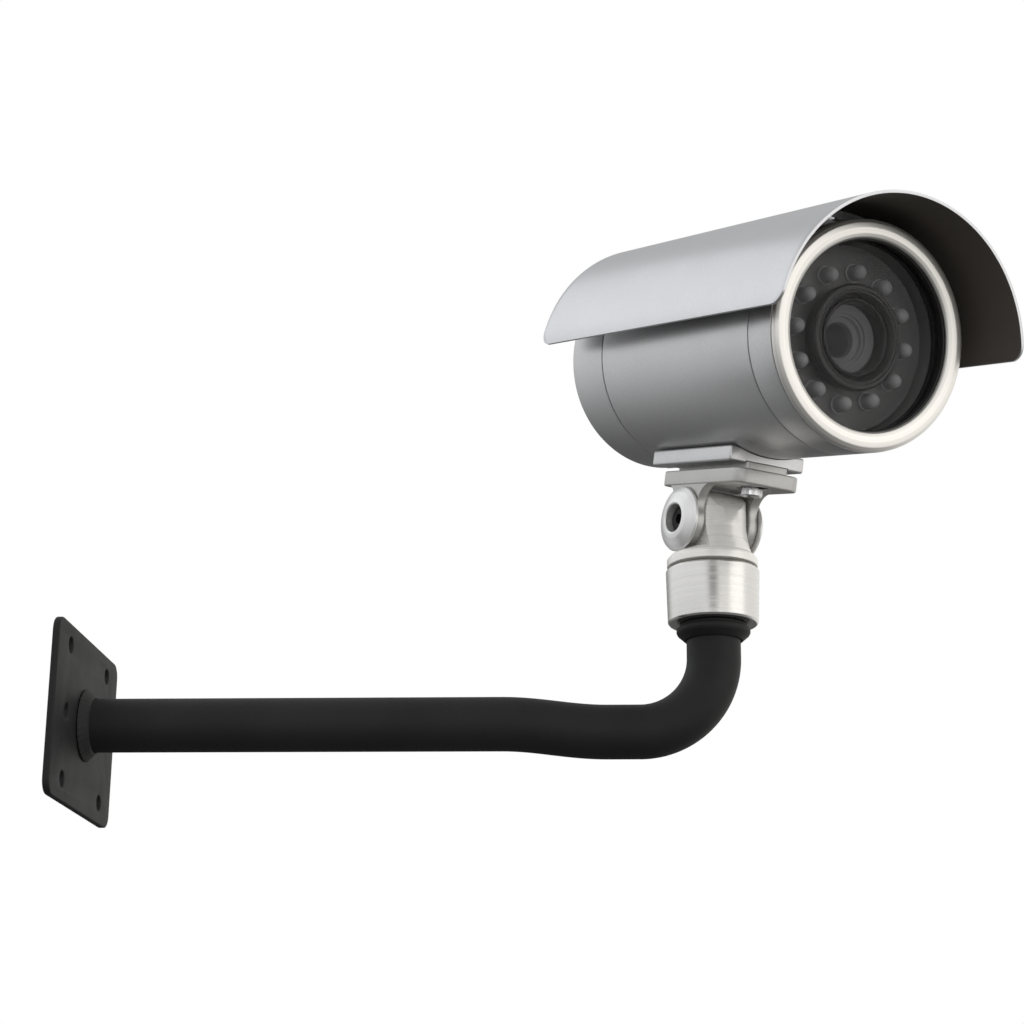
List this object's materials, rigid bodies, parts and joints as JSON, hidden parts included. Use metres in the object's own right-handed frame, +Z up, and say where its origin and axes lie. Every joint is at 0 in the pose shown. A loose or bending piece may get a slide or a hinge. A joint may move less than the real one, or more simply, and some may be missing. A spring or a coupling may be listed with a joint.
{
  "type": "security camera",
  "caption": "Bullet security camera with a ring of infrared LEDs under a sliding sunshield, on a pan and tilt yoke at the end of a bent wall arm.",
  "frame": {"origin": "middle of the wall plate's back face, which lies on the wall", "axes": "+X out from the wall along the arm, +Z up along the swivel's axis, +Y to the left seen from the wall"},
  "size_m": [0.3783, 0.2057, 0.2523],
  "materials": {
    "black_powder_coat": "satin black powder coat",
    "satin_die_cast": "satin",
    "silver_paint": "satin metallic silver paint",
    "bezel_metal": "satin",
    "screw_steel": "bright",
    "nylon_washer": "matt",
    "window_glass": "smoked, polished",
    "lens_glass": "coated, polished",
    "black_rubber": "matt",
    "black_plastic": "matt",
    "circuit_board": "solder resist"
  },
  "bodies": {
    "bracket": {"wall_plate": "black_powder_coat", "weld_bead": "black_powder_coat", "arm_tube": "black_powder_coat", "tube_ferrule": "black_powder_coat", "swivel_collar": "satin_die_cast", "collar_grub_screw": "screw_steel"},
    "swivel": {"stalk": "satin_die_cast", "pan_bolt": "screw_steel", "pan_nut": "screw_steel", "pan_spring_washer": "screw_steel", "pan_bearing_washer": "nylon_washer"},
    "yoke": {"yoke": "satin_die_cast", "tilt_bolt": "screw_steel", "tilt_nut": "screw_steel", "tilt_cap_right": "satin_die_cast", "tilt_cap_left": "satin_die_cast", "tilt_washer_right": "nylon_washer", "tilt_washer_left": "nylon_washer"},
    "camera": {"rail_plate": "silver_paint", "rail_clamp_screw": "screw_steel", "rail_screw_front": "screw_steel", "rail_screw_rear": "screw_steel", "barrel_tube": "silver_paint", "rear_cap": "silver_paint", "front_ring": "silver_paint", "bezel": "bezel_metal", "window_glass": "window_glass", "window_gasket": "black_rubber", "glass_retainer": "black_plastic", "rear_o_ring": "black_rubber", "front_o_ring": "black_rubber", "led_board": "circuit_board", "lens_hood": "black_rubber", "lens_holder": "black_plastic", "ircut_housing": "black_plastic", "sensor_board": "circuit_board", "image_sensor": "black_plastic", "main_board": "circuit_board", "power_board": "circuit_board", "board_sled": "black_plastic", "board_rod_1": "screw_steel", "board_rod_2": "screw_steel", "board_rod_3": "screw_steel", "board_rod_4": "screw_steel", "led_harness": "black_plastic", "gland_body": "black_plastic", "gland_cap": "black_plastic", "gland_seal": "black_rubber", "gland_locknut": "black_plastic", "shield_screw_front": "screw_steel", "shield_screw_rear": "screw_steel", "shield_pad": "silver_paint"},
    "sunshield": {"sunshield": "silver_paint"},
    "focus_ring": {"focus_ring": "black_plastic"},
    "lens": {"lens_cell": "black_plastic", "front_lens": "lens_glass", "rear_lens": "lens_glass"},
    "ir_filter": {"ircut_frame": "black_plastic", "ircut_filter": "lens_glass"}
  },
  "joints": [
    {"name": "pan", "type": "hinge", "parent": "bracket", "child": "swivel", "pos_m": [0.26, 0, 0.064], "axis": [0, 0, 1], "range_deg": [-180, 180]},
    {"name": "tilt", "type": "hinge", "parent": "swivel", "child": "yoke", "pos_m": [0.26, 0, 0.0833], "axis": [-0.8348, -0.5505, 0], "range_deg": [-36, 53]},
    {"name": "rail_slide", "type": "slide", "parent": "yoke", "child": "camera", "axis": [0.5355, -0.8121, -0.2318], "range_m": [-0.006, 0.006]},
    {"name": "shield_slide", "type": "slide", "parent": "camera", "child": "sunshield", "axis": [0.5355, -0.8121, -0.2318], "range_m": [-0.01, 0.01]},
    {"name": "focus_turn", "type": "hinge", "parent": "camera", "child": "focus_ring", "pos_m": [0.3001, -0.06082, 0.13883], "axis": [0.5355, -0.8121, -0.2318], "range_deg": [-60, 60]},
    {"name": "lens_focus", "type": "slide", "parent": "camera", "child": "lens", "axis": [0.5355, -0.8121, -0.2318], "range_m": [-0.001, 0.001]},
    {"name": "filter_shift", "type": "slide", "parent": "camera", "child": "ir_filter", "axis": [0.8348, 0.5505, 0], "range_m": [0, 0.009]}
  ],
  "couplings": [
    {"joint": "focus_turn", "follows": "lens_focus", "rad_per_m": 1000}
  ]
}
